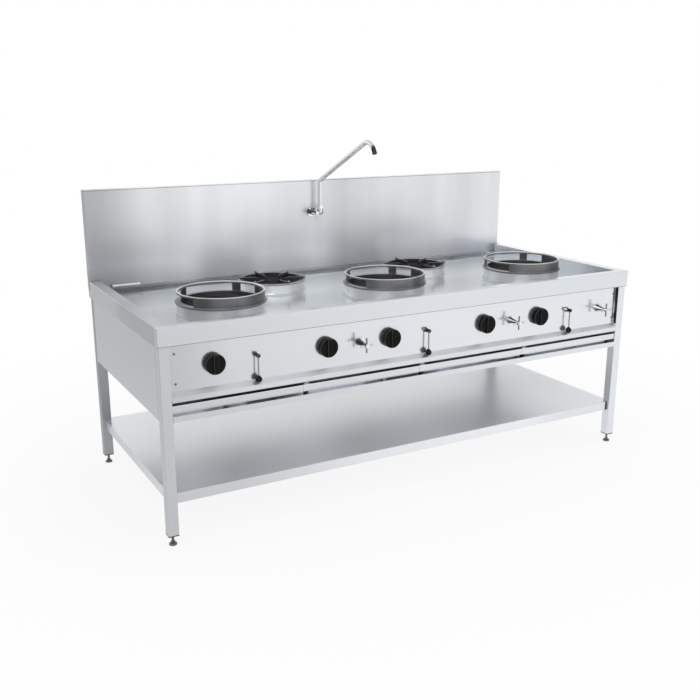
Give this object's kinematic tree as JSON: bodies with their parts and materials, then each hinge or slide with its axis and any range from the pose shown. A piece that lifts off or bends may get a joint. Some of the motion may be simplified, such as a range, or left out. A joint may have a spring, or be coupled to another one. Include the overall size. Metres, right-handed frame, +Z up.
{
  "type": "wok range",
  "caption": "Freestanding stainless steel gas wok range with a row of wok burners, rear pot burners, splashback with swivel tap, control panel and undershelf.",
  "frame": {"origin": "bottom centre of the bounding box, on the floor under the middle of the range", "axes": "+X to the right along the front, +Y to the rear (the control panel faces -Y), +Z up"},
  "size_m": [2.2, 1.028, 1.4079],
  "materials": {
    "leg_steel": "satin brushed",
    "bush_black": "matt black",
    "foot_steel": "zinc plated",
    "side_steel": "satin brushed",
    "worktop_steel": "satin brushed",
    "splash_steel": "satin brushed",
    "panel_steel": "fine polished",
    "rail_steel": "fine polished",
    "shelf_steel": "satin brushed",
    "trim_chrome": "polished",
    "drain_steel": "satin",
    "collar_steel": "turned",
    "burner_iron": "as cast",
    "ring_iron": "machined grey",
    "trivet_iron": "black enamel",
    "valve_brass": "machined",
    "pipe_steel": "drawn",
    "knob_black": "semi-gloss black",
    "lever_chrome": "polished",
    "ball_black": "gloss black",
    "handle_chrome": "polished",
    "tap_chrome": "polished"
  },
  "bodies": {
    "range": {"leg_front_left": "leg_steel", "leg_front_right": "leg_steel", "leg_rear_left": "leg_steel", "leg_rear_right": "leg_steel", "foot_bushes": "bush_black", "side_panel_left": "side_steel", "side_panel_right": "side_steel", "rear_panel": "side_steel", "worktop": "worktop_steel", "splashback": "splash_steel", "control_panel": "panel_steel", "front_rail": "rail_steel", "lower_rail": "rail_steel", "undershelf": "shelf_steel", "panel_screws": "trim_chrome", "rail_clips": "trim_chrome", "water_valves": "trim_chrome", "rinse_pipe": "trim_chrome", "drain_outlet": "drain_steel", "wok_collar_left": "collar_steel", "wok_collar_middle": "collar_steel", "wok_collar_right": "collar_steel", "pot_collar_left": "collar_steel", "pot_collar_right": "collar_steel", "wok_burners": "burner_iron", "pot_burners": "burner_iron", "gas_valves": "valve_brass", "gas_pipework": "pipe_steel", "water_pipework": "pipe_steel", "tap_body": "tap_chrome"},
    "foot_front_left": {"foot_front_left": "foot_steel"},
    "foot_front_right": {"foot_front_right": "foot_steel"},
    "foot_rear_left": {"foot_rear_left": "foot_steel"},
    "foot_rear_right": {"foot_rear_right": "foot_steel"},
    "gas_spindle_1": {"gas_spindle_1": "valve_brass"},
    "gas_knob_1": {"gas_knob_1": "knob_black"},
    "gas_spindle_2": {"gas_spindle_2": "valve_brass"},
    "gas_knob_2": {"gas_knob_2": "knob_black"},
    "gas_spindle_3": {"gas_spindle_3": "valve_brass"},
    "gas_knob_3": {"gas_knob_3": "knob_black"},
    "gas_spindle_4": {"gas_spindle_4": "valve_brass"},
    "gas_knob_4": {"gas_knob_4": "knob_black"},
    "gas_spindle_5": {"gas_spindle_5": "valve_brass"},
    "gas_knob_5": {"gas_knob_5": "knob_black"},
    "lever_1": {"lever_1": "lever_chrome", "lever_ball_1": "ball_black"},
    "lever_2": {"lever_2": "lever_chrome", "lever_ball_2": "ball_black"},
    "lever_3": {"lever_3": "lever_chrome", "lever_ball_3": "ball_black"},
    "cross_handle_1": {"cross_handle_1": "handle_chrome"},
    "cross_handle_2": {"cross_handle_2": "handle_chrome"},
    "cross_handle_3": {"cross_handle_3": "handle_chrome"},
    "tap_handle": {"tap_handle": "tap_chrome"},
    "tap_spout": {"tap_spout": "tap_chrome"},
    "wok_ring_left": {"wok_ring_left": "ring_iron"},
    "wok_ring_middle": {"wok_ring_middle": "ring_iron"},
    "wok_ring_right": {"wok_ring_right": "ring_iron"},
    "trivet_left": {"trivet_left": "trivet_iron"},
    "trivet_right": {"trivet_right": "trivet_iron"}
  },
  "joints": [
    {"name": "foot_front_left_screw", "type": "slide", "parent": "range", "child": "foot_front_left", "axis": [0, 0, -1], "range_m": [0, 0.03]},
    {"name": "foot_front_right_screw", "type": "slide", "parent": "range", "child": "foot_front_right", "axis": [0, 0, -1], "range_m": [0, 0.03]},
    {"name": "foot_rear_left_screw", "type": "slide", "parent": "range", "child": "foot_rear_left", "axis": [0, 0, -1], "range_m": [0, 0.03]},
    {"name": "foot_rear_right_screw", "type": "slide", "parent": "range", "child": "foot_rear_right", "axis": [0, 0, -1], "range_m": [0, 0.03]},
    {"name": "gas_push_1", "type": "slide", "parent": "range", "child": "gas_spindle_1", "axis": [0, 1, 0], "range_m": [0, 0.004], "stiffness_N_per_m": 1500, "springref_m": -0.004},
    {"name": "gas_turn_1", "type": "hinge", "parent": "gas_spindle_1", "child": "gas_knob_1", "pos_m": [-0.89, -0.476, 0.668], "axis": [0, -1, 0], "range_deg": [0, 180]},
    {"name": "gas_push_2", "type": "slide", "parent": "range", "child": "gas_spindle_2", "axis": [0, 1, 0], "range_m": [0, 0.004], "stiffness_N_per_m": 1500, "springref_m": -0.004},
    {"name": "gas_turn_2", "type": "hinge", "parent": "gas_spindle_2", "child": "gas_knob_2", "pos_m": [-0.435, -0.476, 0.668], "axis": [0, -1, 0], "range_deg": [0, 180]},
    {"name": "gas_push_3", "type": "slide", "parent": "range", "child": "gas_spindle_3", "axis": [0, 1, 0], "range_m": [0, 0.004], "stiffness_N_per_m": 1500, "springref_m": -0.004},
    {"name": "gas_turn_3", "type": "hinge", "parent": "gas_spindle_3", "child": "gas_knob_3", "pos_m": [-0.153, -0.476, 0.668], "axis": [0, -1, 0], "range_deg": [0, 180]},
    {"name": "gas_push_4", "type": "slide", "parent": "range", "child": "gas_spindle_4", "axis": [0, 1, 0], "range_m": [0, 0.004], "stiffness_N_per_m": 1500, "springref_m": -0.004},
    {"name": "gas_turn_4", "type": "hinge", "parent": "gas_spindle_4", "child": "gas_knob_4", "pos_m": [0.315, -0.476, 0.668], "axis": [0, -1, 0], "range_deg": [0, 180]},
    {"name": "gas_push_5", "type": "slide", "parent": "range", "child": "gas_spindle_5", "axis": [0, 1, 0], "range_m": [0, 0.004], "stiffness_N_per_m": 1500, "springref_m": -0.004},
    {"name": "gas_turn_5", "type": "hinge", "parent": "gas_spindle_5", "child": "gas_knob_5", "pos_m": [0.603, -0.476, 0.668], "axis": [0, -1, 0], "range_deg": [0, 180]},
    {"name": "lever_swing_1", "type": "hinge", "parent": "range", "child": "lever_1", "pos_m": [-0.726, -0.473, 0.678], "axis": [0, -1, 0], "range_deg": [0, 90]},
    {"name": "lever_swing_2", "type": "hinge", "parent": "range", "child": "lever_2", "pos_m": [0.019, -0.473, 0.678], "axis": [0, -1, 0], "range_deg": [0, 90]},
    {"name": "lever_swing_3", "type": "hinge", "parent": "range", "child": "lever_3", "pos_m": [0.765, -0.473, 0.678], "axis": [0, -1, 0], "range_deg": [0, 90]},
    {"name": "cross_turn_1", "type": "hinge", "parent": "range", "child": "cross_handle_1", "pos_m": [-0.289, -0.505, 0.665], "axis": [0, -1, 0], "range_deg": [0, 720]},
    {"name": "cross_turn_2", "type": "hinge", "parent": "range", "child": "cross_handle_2", "pos_m": [0.454, -0.505, 0.665], "axis": [0, -1, 0], "range_deg": [0, 720]},
    {"name": "cross_turn_3", "type": "hinge", "parent": "range", "child": "cross_handle_3", "pos_m": [0.951, -0.505, 0.665], "axis": [0, -1, 0], "range_deg": [0, 720]},
    {"name": "tap_turn", "type": "hinge", "parent": "range", "child": "tap_handle", "pos_m": [-0.034, 0.404, 1.058], "axis": [0, -1, 0], "range_deg": [0, 720]},
    {"name": "spout_swivel", "type": "hinge", "parent": "range", "child": "tap_spout", "pos_m": [-0.004, 0.428, 1.206], "axis": [0, 0, 1], "range_deg": [-85, 85]},
    {"name": "wok_ring_left_lift", "type": "slide", "parent": "range", "child": "wok_ring_left", "axis": [0, 0, 1], "range_m": [0, 0.12]},
    {"name": "wok_ring_middle_lift", "type": "slide", "parent": "range", "child": "wok_ring_middle", "axis": [0, 0, 1], "range_m": [0, 0.12]},
    {"name": "wok_ring_right_lift", "type": "slide", "parent": "range", "child": "wok_ring_right", "axis": [0, 0, 1], "range_m": [0, 0.12]},
    {"name": "trivet_left_lift", "type": "slide", "parent": "range", "child": "trivet_left", "axis": [0, 0, 1], "range_m": [0, 0.1]},
    {"name": "trivet_right_lift", "type": "slide", "parent": "range", "child": "trivet_right", "axis": [0, 0, 1], "range_m": [0, 0.1]}
  ]
}
